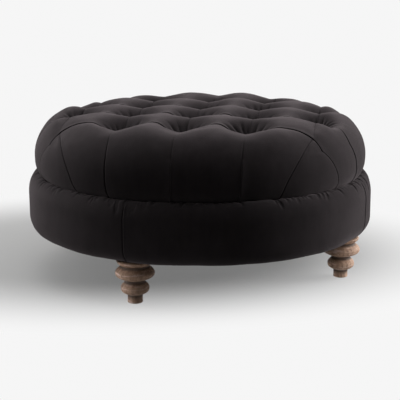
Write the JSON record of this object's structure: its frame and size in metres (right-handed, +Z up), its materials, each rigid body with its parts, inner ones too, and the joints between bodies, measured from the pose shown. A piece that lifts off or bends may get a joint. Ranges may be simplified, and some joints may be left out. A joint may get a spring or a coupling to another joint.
{
  "type": "pouf",
  "caption": "Round button-tufted pouf for sitting or resting feet, with a domed seat, a padded band below it and turned wooden feet.",
  "frame": {"origin": "on the floor, below the centre of the seat", "axes": "+Z up; +X along the rows of buttons; the picture looks along +Y, turned 9 degrees"},
  "size_m": [1, 1, 0.4607],
  "materials": {
    "upholstery": "matte short pile",
    "button_cloth": "matte short pile",
    "foam": "matte open-cell foam",
    "wadding": "matte fibre wadding",
    "twine": "waxed cord",
    "fibre_washer": "matte pressed fibre",
    "plywood": "sanded plywood",
    "softwood": "planed softwood",
    "hardboard": "smooth hardboard",
    "card": "matte card",
    "lining": "matte non-woven cloth",
    "oak": "weathered, open-grained, matte",
    "zinc_steel": "zinc plated",
    "nylon": "moulded nylon"
  },
  "bodies": {
    "root": {"seat_cover": "upholstery", "seat_foam": "foam", "tuft_buttons": "button_cloth", "button_twine": "twine", "anchor_washers": "fibre_washer", "seat_deck": "plywood", "deck_screws": "zinc_steel", "main_bearer": "softwood", "left_side_bearer": "softwood", "right_side_bearer": "softwood", "frame_posts": "softwood", "side_panel": "hardboard", "base_ring": "plywood", "base_screws": "zinc_steel", "leg_blocks": "softwood", "tack_strip": "card", "band_padding": "wadding", "band_cover": "upholstery", "dust_cover": "lining", "front_left_foot": "oak", "front_right_foot": "oak", "back_right_foot": "oak", "back_left_foot": "oak", "hanger_bolts": "zinc_steel", "tee_nuts": "zinc_steel", "foot_glides": "nylon"}
  },
  "joints": []
}
